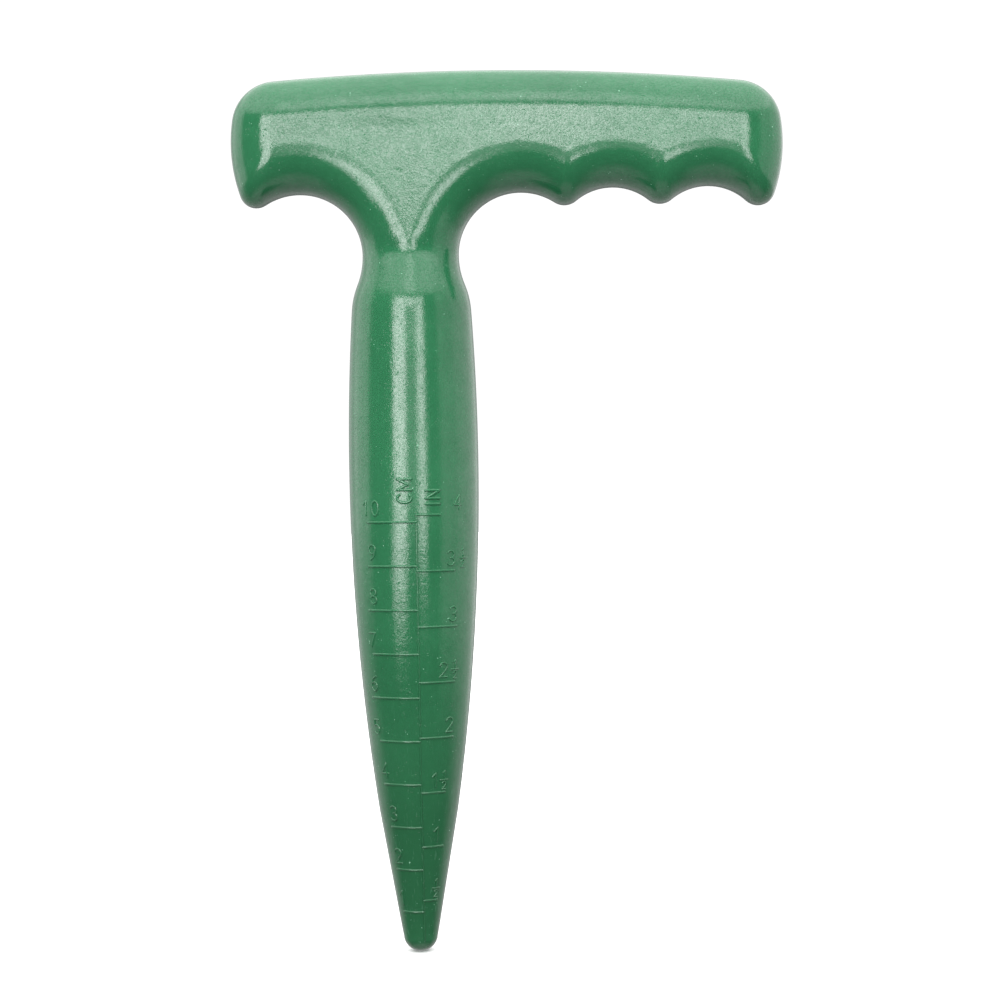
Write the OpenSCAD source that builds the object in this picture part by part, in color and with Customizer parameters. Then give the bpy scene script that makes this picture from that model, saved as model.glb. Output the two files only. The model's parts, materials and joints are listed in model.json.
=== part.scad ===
// Bulb planter (dibber): a hollow T-handled tool moulded as two half shells,
// which are welded together on the mid plane. All sizes are in millimetres.
// The point of the spike is at the origin, Z runs up the spike, X along the
// handle, and the face that carries the depth scale looks along -Y.

/* [Spike] */
// Radius of the rounded point
nose_r = 4; // [3.6:0.1:4.4]
// Half angle of the tapered point, in degrees
taper = 9.9; // [9.5:0.1:10.3]
// Radius of the spike where it is widest
belly_r = 15.05; // [14.75:0.05:15.5]
// Height at which the spike is widest
belly_z = 113.5; // [111:0.5:116]
// Radius of the long curve down the side of the spike
belly_arc = 550; // [530:1:600]
// Radius of the shoulder under the neck
shoulder_arc = 19; // [16:1:22]

/* [Neck] */
// Height of the neck above the point
neck_z = 161.8; // [161:0.1:162.6]
// Half width of the neck at its narrowest
neck_r = 11.2; // [10.9:0.1:11.5]
// Radius of the hollow between the neck and the shoulder
neck_arc = 18; // [16:1:20]
// Radius of the hollow between the neck and the thumb arm
thumb_crotch_r = 14.7; // [14.5:0.1:14.9]
// Radius of the hollow between the neck and the finger arm
finger_crotch_r = 14.5; // [14.3:0.1:14.7]
// Lean of the steep front of the neck from upright, in degrees
front_lean = 16; // [14:0.5:18]
// Radius of the rounded front edge under the neck
front_arc = 16.5; // [14:0.5:19]
// Radius of the hollow between the neck and the flat face
front_hollow = 7.8; // [6:0.2:9]

/* [Handle] */
// Height of the whole tool
overall_h = 204.7; // [203:0.1:207]
// Place along X of the highest point of the crowned top edge
crown_x = 16; // [10:1:22]
// Radius of the crowned top edge
crown_arc = 605; // [580:5:640]
// Length of the thumb arm, from the spike's centre line to its end
thumb_arm = 41.5; // [40.5:0.1:42.5]
// Length of the finger arm, from the spike's centre line to its end
finger_arm = 87; // [86:0.1:88]
// Place along X of the middle finger groove
groove_x = 47.2; // [47:0.1:47.5]
// Spacing of the middle and the outer finger groove
groove_pitch = 22.3; // [22.1:0.1:22.5]
// Radius of the middle and the outer finger groove
groove_r = 13.3; // [13:0.1:13.6]
// Height of the top of the middle and the outer finger groove
groove_z = 177.2; // [176.8:0.1:177.6]
// Radius of the ridges between the finger grooves
ridge_r = 4.3; // [3.8:0.1:4.8]
// Half thickness of the handle, halfway up its flat face
handle_half_t = 8.8; // [8.5:0.1:9.2]
// Lean of the flat face from upright, in degrees
face_lean = 4; // [3:0.5:5]

/* [Shells] */
// Wall thickness of both shells
wall = 2.4; // [2:0.1:2.8]
// Thickness of the weld film between the two rims
weld_t = 0.2; // [0.1:0.05:0.4]
// Height of the solid point below the hollow
solid_nose = 15; // [14:1:20]
// Thickness of the stiffening ribs
rib_t = 1.6; // [1.2:0.1:2.4]
// Radius of the locating pins
pin_r = 1.5; // [1.2:0.1:1.8]
// Clearance round a locating pin
pin_gap = 0.1; // [0.05:0.05:0.2]

/* [Scale] */
// Place along X of the upright line
scale_x = 1; // [0.6:0.1:1.4]
// Width of a raised line
line_w = 0.5; // [0.4:0.1:0.8]
// Height of a raised line above the surface
line_h = 0.3; // [0.2:0.05:0.4]

/* [Hidden] */
green = "#3b8a5c";

// ---- plane geometry: points are [x, z] ----

function on_arc(c, r, a) = c + r * [cos(a), sin(a)];
function bearing(from, to) = atan2(to[1] - from[1], to[0] - from[0]);
function turn_up(a, b) = ((b - a) % 360 + 360) % 360;

// Centre that lies d1 from c1 and d2 from c2, on the left (1) or right (-1) of c1 -> c2
function meet(c1, d1, c2, d2, side) =
    let (v = c2 - c1, l = norm(v), a = (d1 * d1 - d2 * d2 + l * l) / (2 * l))
    c1 + v * a / l + side * sqrt(d1 * d1 - a * a) / l * [-v[1], v[0]];

// Points along an arc from bearing a to bearing b, without the last one
function arc_up(c, r, a, b, n) =
    [for (k = [0:n - 1]) on_arc(c, r, a + turn_up(a, b) * k / n)];
function arc_down(c, r, a, b, n) =
    [for (k = [0:n - 1]) on_arc(c, r, a - turn_up(b, a) * k / n)];

// ---- spike: half width and front depth at each height ----

cone_z = nose_r - nose_r * sin(taper);
cone_r = nose_r * cos(taper);
belly_c = [belly_r - belly_arc, belly_z];
neck_c = [neck_r + neck_arc, neck_z];
shoulder_c = meet(neck_c, neck_arc + shoulder_arc, belly_c, belly_arc - shoulder_arc, 1);
shoulder_top = on_arc(shoulder_c, shoulder_arc, bearing(shoulder_c, neck_c))[1];
shoulder_foot = on_arc(belly_c, belly_arc, bearing(belly_c, shoulder_c))[1];

function beside(c, r, z) = sqrt(r * r - pow(z - c[1], 2));
function taper_r(z) = cone_r + (z - cone_z) * tan(taper);
function belly_half(z) = belly_c[0] + beside(belly_c, belly_arc, z);
function spike_r(z) =
    z < cone_z ? sqrt(max(0, z * (2 * nose_r - z))) :
    z < shoulder_foot ? min(taper_r(z), belly_half(z)) :
    z < shoulder_top ? shoulder_c[0] + beside(shoulder_c, shoulder_arc, z) :
    neck_c[0] - beside(neck_c, neck_arc, z);

face_mid_z = 188;
function face_depth(z) = handle_half_t + (face_mid_z - z) * tan(face_lean);

// The front of the neck has a shoulder arc, a steep straight part and a hollow that runs
// into the flat face. Points here are [z, depth].
front_z = 149;
front_start = atan(spike_r(front_z - 0.5) - spike_r(front_z + 0.5));
front_c = [front_z, spike_r(front_z)] - front_arc * [sin(front_start), cos(front_start)];
steep_low = front_c + front_arc * [sin(front_lean), cos(front_lean)];
crease_z = (steep_low[1] + tan(front_lean) * steep_low[0] - handle_half_t - tan(face_lean) * face_mid_z)
    / (tan(front_lean) - tan(face_lean));
hollow_run = front_hollow * tan((front_lean - face_lean) / 2);
hollow_low_z = crease_z - hollow_run * cos(front_lean);
hollow_high_z = crease_z + hollow_run * cos(face_lean);
hollow_c = [hollow_high_z, face_depth(hollow_high_z)] + front_hollow * [sin(face_lean), cos(face_lean)];

function depth(z) =
    z <= front_z ? spike_r(z) :
    z < steep_low[0] ? front_c[1] + sqrt(pow(front_arc, 2) - pow(z - front_c[0], 2)) :
    z < hollow_low_z ? steep_low[1] - (z - steep_low[0]) * tan(front_lean) :
    z < hollow_high_z ? hollow_c[1] - sqrt(pow(front_hollow, 2) - pow(z - hollow_c[0], 2)) :
    face_depth(z);

// ---- handle: outline at the mid plane and edge of the flat face ----

thumb_crotch = [-neck_r - thumb_crotch_r, neck_z];
finger_crotch = [neck_r + finger_crotch_r, neck_z];
thumb_end_arc = 37.5;
thumb_end_z = 188.4;
finger_end_arc = 36;
finger_end_z = 187.3;
thumb_end_c = [thumb_end_arc - thumb_arm, thumb_end_z];
finger_end_c = [finger_arm - finger_end_arc, finger_end_z];
crown_c = [crown_x, overall_h - crown_arc];
middle_groove = [groove_x, groove_z - groove_r];
outer_groove = [groove_x + groove_pitch, groove_z - groove_r];

// Small radii, in order: thumb tip, thumb corner, finger corner, finger tip, ridge
outline_small = [3.7, 10.6, 10.5, 3.8, ridge_r];
face_small = [0.8, 0.8, 0.8, 0.8, 0.8];
// Insets, in order: crotch, grooves, thumb end, top, finger end
no_inset = [0, 0, 0, 0, 0];
face_inset = [neck_r - 0.5, 9.6, 10.8, 10, 10.6];
// Radius of the rounded lower end of the face, and the part of the hollows that stands opposite it
face_keel = 0.6;
keel_turn = 5;

// Loop from the thumb side of the neck, round the handle, to its finger side.
// The same count of points on every arc keeps the loops of two insets in step.
function loop(inset, small, keel) =
    let (
        a = thumb_crotch_r + inset[0], b = finger_crotch_r + inset[0], g = groove_r + inset[1],
        l = thumb_end_arc - inset[2], t = crown_arc - inset[3], f = finger_end_arc - inset[4],
        tip_l = meet(thumb_crotch, a + small[0], thumb_end_c, l - small[0], 1),
        cor_l = meet(thumb_end_c, l - small[1], crown_c, t - small[1], -1),
        cor_f = meet(crown_c, t - small[2], finger_end_c, f - small[2], -1),
        tip_f = meet(finger_end_c, f - small[3], outer_groove, g + small[3], 1),
        rid_o = meet(outer_groove, g + small[4], middle_groove, g + small[4], -1),
        rid_i = meet(middle_groove, g + small[4], finger_crotch, b + small[4], -1),
        keel_c = keel > 0 ? meet(thumb_crotch, a + keel, finger_crotch, b + keel, 1) : [0, 0],
        turn_l = keel > 0 ? bearing(thumb_crotch, keel_c) : keel_turn,
        turn_f = keel > 0 ? bearing(finger_crotch, keel_c) : 180 - keel_turn
    )
    concat(
        keel > 0
            ? arc_down(keel_c, keel, 270, turn_l + 180, n_keel)
            : arc_up(thumb_crotch, a, 0, turn_l, n_keel),
        arc_up(thumb_crotch, a, turn_l, bearing(thumb_crotch, tip_l), n_crotch),
        arc_down(tip_l, small[0], bearing(tip_l, thumb_crotch), bearing(thumb_end_c, tip_l), n_tip),
        arc_down(thumb_end_c, l, bearing(thumb_end_c, tip_l), bearing(thumb_end_c, cor_l), n_end),
        arc_down(cor_l, small[1], bearing(thumb_end_c, cor_l), bearing(crown_c, cor_l), n_corner),
        arc_down(crown_c, t, bearing(crown_c, cor_l), bearing(crown_c, cor_f), n_top),
        arc_down(cor_f, small[2], bearing(crown_c, cor_f), bearing(finger_end_c, cor_f), n_corner),
        arc_down(finger_end_c, f, bearing(finger_end_c, cor_f), bearing(finger_end_c, tip_f), n_end),
        arc_down(tip_f, small[3], bearing(finger_end_c, tip_f), bearing(tip_f, outer_groove), n_tip),
        arc_up(outer_groove, g, bearing(outer_groove, tip_f), bearing(outer_groove, rid_o), n_groove),
        arc_down(rid_o, small[4], bearing(rid_o, outer_groove), bearing(rid_o, middle_groove),
            n_ridge),
        arc_up(middle_groove, g, bearing(middle_groove, rid_o), bearing(middle_groove, rid_i),
            n_groove),
        arc_down(rid_i, small[4], bearing(rid_i, middle_groove), bearing(rid_i, finger_crotch),
            n_ridge),
        arc_up(finger_crotch, b, bearing(finger_crotch, rid_i), turn_f, n_crotch),
        keel > 0
            ? arc_down(keel_c, keel, turn_f + 180, 270, n_keel)
            : arc_up(finger_crotch, b, turn_f, 180, n_keel),
        [keel > 0 ? keel_c - [0, keel] : finger_crotch - [b, 0]]
    );

n_keel = 2;
n_crotch = 18;
n_tip = 8;
n_end = 6;
n_corner = 10;
n_top = 30;
n_groove = 12;
n_ridge = 6;
rim = loop(no_inset, outline_small, 0);
face = loop(face_inset, face_small, face_keel);
n_cols = len(rim);
low_start = n_keel + n_crotch;
top_start = low_start + n_tip + n_end + n_corner;
finger_start = top_start + n_top + n_corner + n_end + n_tip;

// ---- half shell as one closed skin ----

n_side = 8;
n_inside = 5;
half_weld = weld_t / 2;

// Heights of the rings round the spike, closer together where it curves most
solid_levels = concat([for (a = [75:-15:15]) nose_r * (1 - sin(a))], [cone_z, 9]);
hollow_levels = concat(
    [solid_nose, 23, 31],
    [for (z = [39:9:138]) z],
    [for (z = [143:2.5:160.5]) z]
);

// Points of a skin that lies t inside the surface: the handle's columns, then the rings of
// the spike from the lowest up, then the middle of the lowest ring or the point itself
function skin_points(t, levels, m, foot_z) = concat(
    [for (i = [0:n_cols - 1], k = [0:m])
        let (
            q = face[i],
            p = rim[i] + (q - rim[i]) * t / norm(q - rim[i]),
            s = q + (p - q) * cos(90 * k / m)
        )
        [s[0], -half_weld - (depth(s[1]) - t - half_weld) * sin(90 * k / m), s[1]]],
    [for (z = levels, k = [0:2 * m])
        [-(spike_r(z) - t) * cos(90 * k / m),
            -half_weld - (depth(z) - t - half_weld) * sin(90 * k / m), z]],
    [[0, -half_weld, foot_z]]
);

// Index of a point in a skin: handle column i and step k, ring j and step k, or the foot.
// The two columns at the neck share their middle point.
function col(i, k, m) = i == n_cols - 1 && k == m ? m : i * (m + 1) + k;
function ring(j, k, m, n) =
    j < n ? n_cols * (m + 1) + j * (2 * m + 1) + k :
    k <= m ? col(0, k, m) : col(n_cols - 1, 2 * m - k, m);
function foot(m, n) = n_cols * (m + 1) + n * (2 * m + 1);
function quad(a, b, c, d) = [[a, b, c], [a, c, d]];

// Place along the top edge of the face that stands above point x of its lower edge
lower_edge = concat([for (i = [low_start:-1:0]) i], [for (i = [n_cols - 2:-1:finger_start]) i]);
n_lower = len(lower_edge);
function above(s) =
    let (x0 = face[top_start][0], x1 = face[top_start + n_top][0], x = face[lower_edge[s]][0])
    top_start + max(0, min(n_top, round(n_top * (x - x0) / (x1 - x0))));

function face_triangles(m) = concat(
    [for (i = [low_start:above(0) - 1]) [col(low_start, m, m), col(i, m, m), col(i + 1, m, m)]],
    [for (s = [0:n_lower - 2]) let (a = lower_edge[s], b = lower_edge[s + 1]) each concat(
        [[col(a, m, m), col(above(s), m, m), col(b, m, m)]],
        [for (i = [above(s):above(s + 1) - 1]) [col(b, m, m), col(i, m, m), col(i + 1, m, m)]])],
    [for (i = [above(n_lower - 1):finger_start - 1])
        [col(finger_start, m, m), col(i, m, m), col(i + 1, m, m)]]
);

function skin_faces(m, n) = concat(
    [for (i = [0:n_cols - 2], k = [0:m - 1])
        each quad(col(i, k, m), col(i + 1, k, m), col(i + 1, k + 1, m), col(i, k + 1, m))],
    [for (j = [0:n - 1], k = [0:2 * m - 1])
        each quad(ring(j, k, m, n), ring(j + 1, k, m, n),
            ring(j + 1, k + 1, m, n), ring(j, k + 1, m, n))],
    [for (k = [0:2 * m - 1]) [foot(m, n), ring(0, k, m, n), ring(0, k + 1, m, n)]],
    face_triangles(m)
);

// The flat rim between the outer skin and the inner one, whose points are numbered from shift
function rim_faces(n_out, n_in, shift) =
    let (low = n_out - n_in, mo = n_side, mi = n_inside)
    concat(
        [for (i = [0:n_cols - 2])
            each quad(col(i, 0, mo), shift + col(i, 0, mi),
                shift + col(i + 1, 0, mi), col(i + 1, 0, mo))],
        [for (j = [0:n_in - 1]) each quad(
            ring(low + j, 0, mo, n_out), shift + ring(j, 0, mi, n_in),
            shift + ring(j + 1, 0, mi, n_in), ring(low + j + 1, 0, mo, n_out))],
        [for (j = [0:n_in - 1]) each quad(
            shift + ring(j, 2 * mi, mi, n_in), ring(low + j, 2 * mo, mo, n_out),
            ring(low + j + 1, 2 * mo, mo, n_out), shift + ring(j + 1, 2 * mi, mi, n_in))],
        [for (j = [0:low - 2]) each quad(ring(j, 0, mo, n_out), ring(j, 2 * mo, mo, n_out),
            ring(j + 1, 2 * mo, mo, n_out), ring(j + 1, 0, mo, n_out))],
        [[foot(mo, n_out), ring(0, 2 * mo, mo, n_out), ring(0, 0, mo, n_out)]],
        let (
            a = ring(low - 1, 0, mo, n_out),
            top = [ring(low - 1, 2 * mo, mo, n_out), ring(low, 2 * mo, mo, n_out),
                shift + ring(0, 2 * mi, mi, n_in), shift + foot(mi, n_in),
                shift + ring(0, 0, mi, n_in), ring(low, 0, mo, n_out)]
        )
        [for (s = [0:len(top) - 2]) [a, top[s], top[s + 1]]]
    );

module half_skin() {
    outer_levels = concat(solid_levels, hollow_levels);
    outer = skin_points(0, outer_levels, n_side, 0);
    inner = skin_points(wall, hollow_levels, n_inside, solid_nose);
    shift = len(outer);
    inner_faces = skin_faces(n_inside, len(hollow_levels));
    polyhedron(
        points = concat(outer, inner),
        faces = concat(
            skin_faces(n_side, len(outer_levels)),
            [for (f = inner_faces) [f[2] + shift, f[1] + shift, f[0] + shift]],
            rim_faces(len(outer_levels), len(hollow_levels), shift)
        ),
        convexity = 8
    );
}

// ---- ribs and bosses inside a shell ----

boss_r = pin_r + 1.5;
pin_reach = 4;
// Places of the bosses and their pins, [x, z]
pin_spots = [[0, 60], [0, 105], [0, 148], [-30, 190], [36.5, 190], [58.5, 190], [77, 189]];
// Heights of the ribs across the spike
rib_levels = [38, 82, 127];

// Lays a shape of the [x, z] plane in the mid plane, with its thickness towards -Y
module facing_front() {
    translate([0, -half_weld, 0]) rotate([90, 0, 0]) children();
}

module bosses() {
    for (s = pin_spots)
        translate([s[0], 0, s[1]]) facing_front()
            cylinder(r = boss_r, h = depth(s[1]) - wall / 2 - half_weld, $fn = 32);
}

module spike_ribs() {
    for (z = rib_levels)
        translate([0, -half_weld, z]) rotate([0, 0, 180])
            rotate_extrude(angle = 180, $fn = 48) square([spike_r(z) - wall / 2 - half_weld, rib_t]);
}

// Half section of the handle from height low to height high, in the middle of the wall
function rib_edge(low, high) = concat(
    [for (a = [0:15:90]) [-half_weld - (face_depth(low) - wall / 2 - half_weld) * sin(a),
        low + face_inset[1] - (face_inset[1] - wall / 2) * cos(a)]],
    [for (a = [90:-15:0]) [-half_weld - (face_depth(high) - wall / 2 - half_weld) * sin(a),
        high - face_inset[3] + (face_inset[3] - wall / 2) * cos(a)]]
);

function crown_height(x) = crown_c[1] + sqrt(pow(crown_arc, 2) - pow(x - crown_x, 2));

module handle_ribs() {
    low_spots = [
        thumb_crotch + [0, thumb_crotch_r], finger_crotch + [0, finger_crotch_r],
        middle_groove + [0, groove_r], outer_groove + [0, groove_r]
    ];
    for (s = low_spots)
        translate([s[0] - rib_t / 2, 0, 0]) rotate([90, 0, 90]) linear_extrude(rib_t)
            polygon(rib_edge(s[1], crown_height(s[0])));
}

module half_shell() {
    half_skin();
    bosses();
    spike_ribs();
    handle_ribs();
}

// ---- depth scale on the front ----

cm_step = 10;
half_inch_step = 12.7;
// Where each line ends on the spike, in degrees round from the front, from the lowest line up
cm_reach = [45, 46, 44, 47, 45, 52, 44, 47, 44, 43];
half_inch_reach = [45, 45, 39, 46, 44, 44, 40, 25];
// Depth of a line below the surface
root = 0.6;
// The upright line starts at this height and stands a little above the round lines
scale_foot = 3;
spine_h = line_h + 0.15;
spine_levels = [scale_foot, 15, 25, 38, 52, 66, 80, 90, len(half_inch_reach) * half_inch_step];
// How far each round line runs into the upright line, in degrees
line_lap = 0.3;

function spine_turn(z) = asin(scale_x / spike_r(z));
function spine_depth(z) = spike_r(z) * cos(spine_turn(z));

// A line round the spike at height z, between two turns from the front, in degrees towards +X
module round_line(z, from, to) {
    rotate([0, 0, 270 + from]) rotate_extrude(angle = to - from, $fn = 96)
        translate([spike_r(z) - root, z - line_w / 2]) square([root + line_h, line_w]);
}

module depth_scale() {
    for (i = [1:len(cm_reach)]) let (z = i * cm_step)
        round_line(z, -cm_reach[i - 1], spine_turn(z) + line_lap);
    for (i = [1:len(half_inch_reach)]) let (z = i * half_inch_step)
        round_line(z, spine_turn(z) - line_lap, half_inch_reach[i - 1]);
    translate([scale_x - line_w / 2, 0, 0]) rotate([90, 0, 90]) linear_extrude(line_w) polygon(concat(
        [for (z = spine_levels) [-spine_depth(z) - spine_h, z]],
        [for (i = [len(spine_levels) - 1:-1:0]) [-spine_depth(spine_levels[i]) + root, spine_levels[i]]]
    ));
}

// ---- pieces ----

module front_shell() {
    color(green) difference() {
        union() {
            half_shell();
            depth_scale();
        }
        for (s = pin_spots)
            translate([s[0], half_weld, s[1]]) facing_front()
                cylinder(r = pin_r + pin_gap, h = pin_reach + 0.5, $fn = 32);
    }
}

module rear_shell() {
    color(green) union() {
        mirror([0, 1, 0]) half_shell();
        for (s = pin_spots)
            translate([s[0], 2 * half_weld + 1, s[1]]) facing_front()
                cylinder(r = pin_r, h = pin_reach + 1, $fn = 32);
    }
}

// Closed outline of the tool in the mid plane, t inside the surface, from height foot_z up
function outline(t, foot_z) =
    let (
        levels = [for (z = concat(solid_levels, hollow_levels)) if (z > foot_z) z],
        side = concat([[foot_z > nose_r ? spike_r(foot_z) - t : 0, foot_z]],
            [for (z = levels) [spike_r(z) - t, z]])
    )
    concat(
        [for (p = side) [-p[0], p[1]]],
        [for (i = [0:n_cols - 1]) rim[i] + (face[i] - rim[i]) * t / norm(face[i] - rim[i])],
        [for (i = [len(side) - 1:-1:0]) side[i]]
    );

weld_recess = 0.5;
module weld_bead() {
    color("#2f7a4e") translate([0, half_weld, 0]) rotate([90, 0, 0]) difference() {
        linear_extrude(weld_t) polygon(outline(weld_recess, 1.2));
        translate([0, 0, -1]) linear_extrude(weld_t + 2)
            polygon(outline(wall - weld_recess, solid_nose - 1));
    }
}

front_shell();
rear_shell();
weld_bead();
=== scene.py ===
"""The looks of the bulb planter: two half shells of moulded green plastic, the seam between them, and the
raised depth scale on the front. The frame is the CAD model's: the point is at the origin, Z runs up the
spike, X along the long arm, and the scale looks along -Y. The shape functions work in millimetres."""
import json
import math

import bmesh
import bpy
import numpy as np
from mathutils import Matrix, Vector


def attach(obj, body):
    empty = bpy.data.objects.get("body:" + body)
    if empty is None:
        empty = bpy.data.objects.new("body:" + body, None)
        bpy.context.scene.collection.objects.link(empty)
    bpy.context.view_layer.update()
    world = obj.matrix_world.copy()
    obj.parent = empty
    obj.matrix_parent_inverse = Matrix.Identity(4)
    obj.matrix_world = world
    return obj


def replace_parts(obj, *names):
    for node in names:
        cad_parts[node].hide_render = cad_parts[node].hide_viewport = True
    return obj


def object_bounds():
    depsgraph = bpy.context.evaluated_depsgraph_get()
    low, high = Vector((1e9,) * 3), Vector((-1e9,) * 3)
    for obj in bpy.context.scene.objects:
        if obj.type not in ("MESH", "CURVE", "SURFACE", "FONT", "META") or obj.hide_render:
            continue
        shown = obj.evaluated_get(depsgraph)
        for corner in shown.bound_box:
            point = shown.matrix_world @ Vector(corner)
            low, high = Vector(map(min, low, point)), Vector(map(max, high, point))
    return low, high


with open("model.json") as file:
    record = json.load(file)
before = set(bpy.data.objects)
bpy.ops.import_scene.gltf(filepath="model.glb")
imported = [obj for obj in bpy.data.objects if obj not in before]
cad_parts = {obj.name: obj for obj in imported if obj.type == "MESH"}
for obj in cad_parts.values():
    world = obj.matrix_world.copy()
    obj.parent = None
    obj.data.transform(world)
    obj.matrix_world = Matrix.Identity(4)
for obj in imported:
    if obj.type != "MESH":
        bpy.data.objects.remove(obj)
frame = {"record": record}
cad_low, cad_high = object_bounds()

MM = 0.001
mounts = {mount["name"]: Vector(mount["pos_m"]) / MM for mount in frame["record"]["mounts"]}

# ---- camera ----

SHOT_DISTANCE = 0.45      # from the parting plane to the lens
SHOT_WIDTH = 0.2333       # width of the view at the parting plane
SHOT_OFFSET = Vector((-0.0027, 0, 0.0022))   # of the aim, from the middle of the tool's box
SHOT_ROLL = math.radians(0.864)              # the tool leans to the left by this much in the view
SENSOR_W = 36             # in millimetres, like the lens
CLIP_NEAR, CLIP_FAR = 0.02, 20


def make_camera():
    """The view of the photo: square to the front of the tool, which leans a little to the left."""
    data = bpy.data.cameras.new("camera")
    data.sensor_width = SENSOR_W
    data.lens = SENSOR_W * SHOT_DISTANCE / SHOT_WIDTH
    data.clip_start = CLIP_NEAR
    data.clip_end = CLIP_FAR
    camera = bpy.data.objects.new("camera", data)
    bpy.context.scene.collection.objects.link(camera)
    middle = (cad_low + cad_high) / 2
    aim = Vector((middle.x, 0, middle.z)) + SHOT_OFFSET
    right = Vector((math.cos(SHOT_ROLL), 0, -math.sin(SHOT_ROLL)))
    back = Vector((0, -1, 0))
    turn = Matrix((right, back.cross(right), back)).transposed()
    camera.matrix_world = Matrix.Translation(aim + SHOT_DISTANCE * back) @ turn.to_4x4()
    bpy.context.scene.camera = camera


make_camera()

# ---- driving sizes, in millimetres ----

# From the frame
overall_h = cad_high.z / MM
thumb_arm = -cad_low.x / MM
finger_arm = cad_high.x / MM
neck_z = mounts["neck"].z
crown_x = mounts["hand_grip"].x

# Spike: rounded point, taper, long belly curve, shoulder and neck
nose_r, taper = 4, math.radians(9.9)
belly_r, belly_z, belly_arc, shoulder_arc = 15.05, 113.5, 550, 19
neck_r, neck_arc = 11.2, 18
# Handle: the hollows beside the neck, the crowned top, the two ends and the grooves for the fingers
thumb_crotch_r, finger_crotch_r = 14.7, 14.5
crown_arc, thumb_end_arc, finger_end_arc = 605, 37.5, 36
thumb_end_z, finger_end_z = 188.4, 187.3
groove_x, groove_pitch, groove_r, groove_z = 47.2, 22.3, 13.3, 177.2
# Front: half thickness and lean of the flat face, then the shoulder, steep part and hollow below it
handle_half_t, face_mid_z, face_lean = 8.8, 188, math.radians(4)
front_z, front_arc, front_lean, front_hollow = 149, 16.5, math.radians(16), 7.8
wall = 2.4
half_weld = 0.1

# ---- plane geometry: points are [x, z] ----


def point(x, z):
    return np.array([x, z], float)


def bearing(start, end):
    """Direction from one point to another, as an angle from X towards Z."""
    return math.atan2(end[1] - start[1], end[0] - start[0])


def on_arc(centre, radius, angle):
    """The points of a circle at one bearing or several."""
    return centre + radius * np.stack([np.cos(angle), np.sin(angle)], -1)


def meet(centre_a, radius_a, centre_b, radius_b, side):
    """The point at these distances from two centres, left (1) or right (-1) of the way from a to b."""
    way = centre_b - centre_a
    length = math.hypot(*way)
    along = (radius_a**2 - radius_b**2 + length**2) / (2 * length)
    across = side * math.sqrt(radius_a**2 - along**2)
    return centre_a + (way * along + point(-way[1], way[0]) * across) / length


def beside(centre, radius, z):
    """How far out from its centre a circle reaches at a height."""
    return np.sqrt(np.maximum(radius**2 - (z - centre[1]) ** 2, 0))


def smooth_step(share):
    """A share from 0 to 1, eased at both ends."""
    return share**2 * (3 - 2 * share)


# ---- spike: half width and front depth at each height ----

cone_z = nose_r * (1 - math.sin(taper))
cone_r = nose_r * math.cos(taper)
belly_c = point(belly_r - belly_arc, belly_z)
neck_c = point(neck_r + neck_arc, neck_z)
shoulder_c = meet(neck_c, neck_arc + shoulder_arc, belly_c, belly_arc - shoulder_arc, 1)
shoulder_top = on_arc(shoulder_c, shoulder_arc, bearing(shoulder_c, neck_c))[1]
shoulder_foot = on_arc(belly_c, belly_arc, bearing(belly_c, shoulder_c))[1]


def spike_r(z):
    """Half width of the spike and the neck at heights from the point up."""
    z = np.asarray(z, float)
    nose = np.sqrt(np.maximum(z * (2 * nose_r - z), 0))
    side = np.minimum(cone_r + (z - cone_z) * math.tan(taper), belly_c[0] + beside(belly_c, belly_arc, z))
    shoulder = shoulder_c[0] + beside(shoulder_c, shoulder_arc, z)
    neck = neck_c[0] - beside(neck_c, neck_arc, z)
    return np.select([z < cone_z, z < shoulder_foot, z < shoulder_top], [nose, side, shoulder], neck)


def face_depth(z):
    """How far in front of the parting plane the flat face lies."""
    return handle_half_t + (face_mid_z - z) * math.tan(face_lean)


# The front of the neck: a shoulder arc, a steep straight part and a hollow that runs into the flat face.
# Points here are [z, depth]. The arc starts along the spike's own slope, taken over a millimetre.
front_start = math.atan(spike_r(front_z - 0.5) - spike_r(front_z + 0.5))
front_c = point(front_z, spike_r(front_z)) - front_arc * point(math.sin(front_start), math.cos(front_start))
steep_low = front_c + front_arc * point(math.sin(front_lean), math.cos(front_lean))
steep, lean = math.tan(front_lean), math.tan(face_lean)
crease_z = (steep_low[1] + steep * steep_low[0] - handle_half_t - lean * face_mid_z) / (steep - lean)
hollow_run = front_hollow * math.tan((front_lean - face_lean) / 2)
hollow_low_z = crease_z - hollow_run * math.cos(front_lean)
hollow_high_z = crease_z + hollow_run * math.cos(face_lean)
hollow_c = (point(hollow_high_z, face_depth(hollow_high_z))
            + front_hollow * point(math.sin(face_lean), math.cos(face_lean)))


def depth(z):
    """Half depth of the tool on its middle line: the spike's radius, the front of the neck, then the face."""
    z = np.asarray(z, float)
    shoulder = front_c[1] + np.sqrt(np.maximum(front_arc**2 - (z - front_c[0]) ** 2, 0))
    straight = steep_low[1] - (z - steep_low[0]) * steep
    hollow = hollow_c[1] - np.sqrt(np.maximum(front_hollow**2 - (z - hollow_c[0]) ** 2, 0))
    return np.select([z <= front_z, z < steep_low[0], z < hollow_low_z, z < hollow_high_z],
                     [spike_r(z), shoulder, straight, hollow], face_depth(z))


# ---- handle: outline at the parting plane and edge of the flat face ----

thumb_crotch = point(-neck_r - thumb_crotch_r, neck_z)
finger_crotch = point(neck_r + finger_crotch_r, neck_z)
thumb_end_c = point(thumb_end_arc - thumb_arm, thumb_end_z)
finger_end_c = point(finger_arm - finger_end_arc, finger_end_z)
crown_c = point(crown_x, overall_h - crown_arc)
middle_groove = point(groove_x, groove_z - groove_r)
outer_groove = point(groove_x + groove_pitch, groove_z - groove_r)

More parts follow.
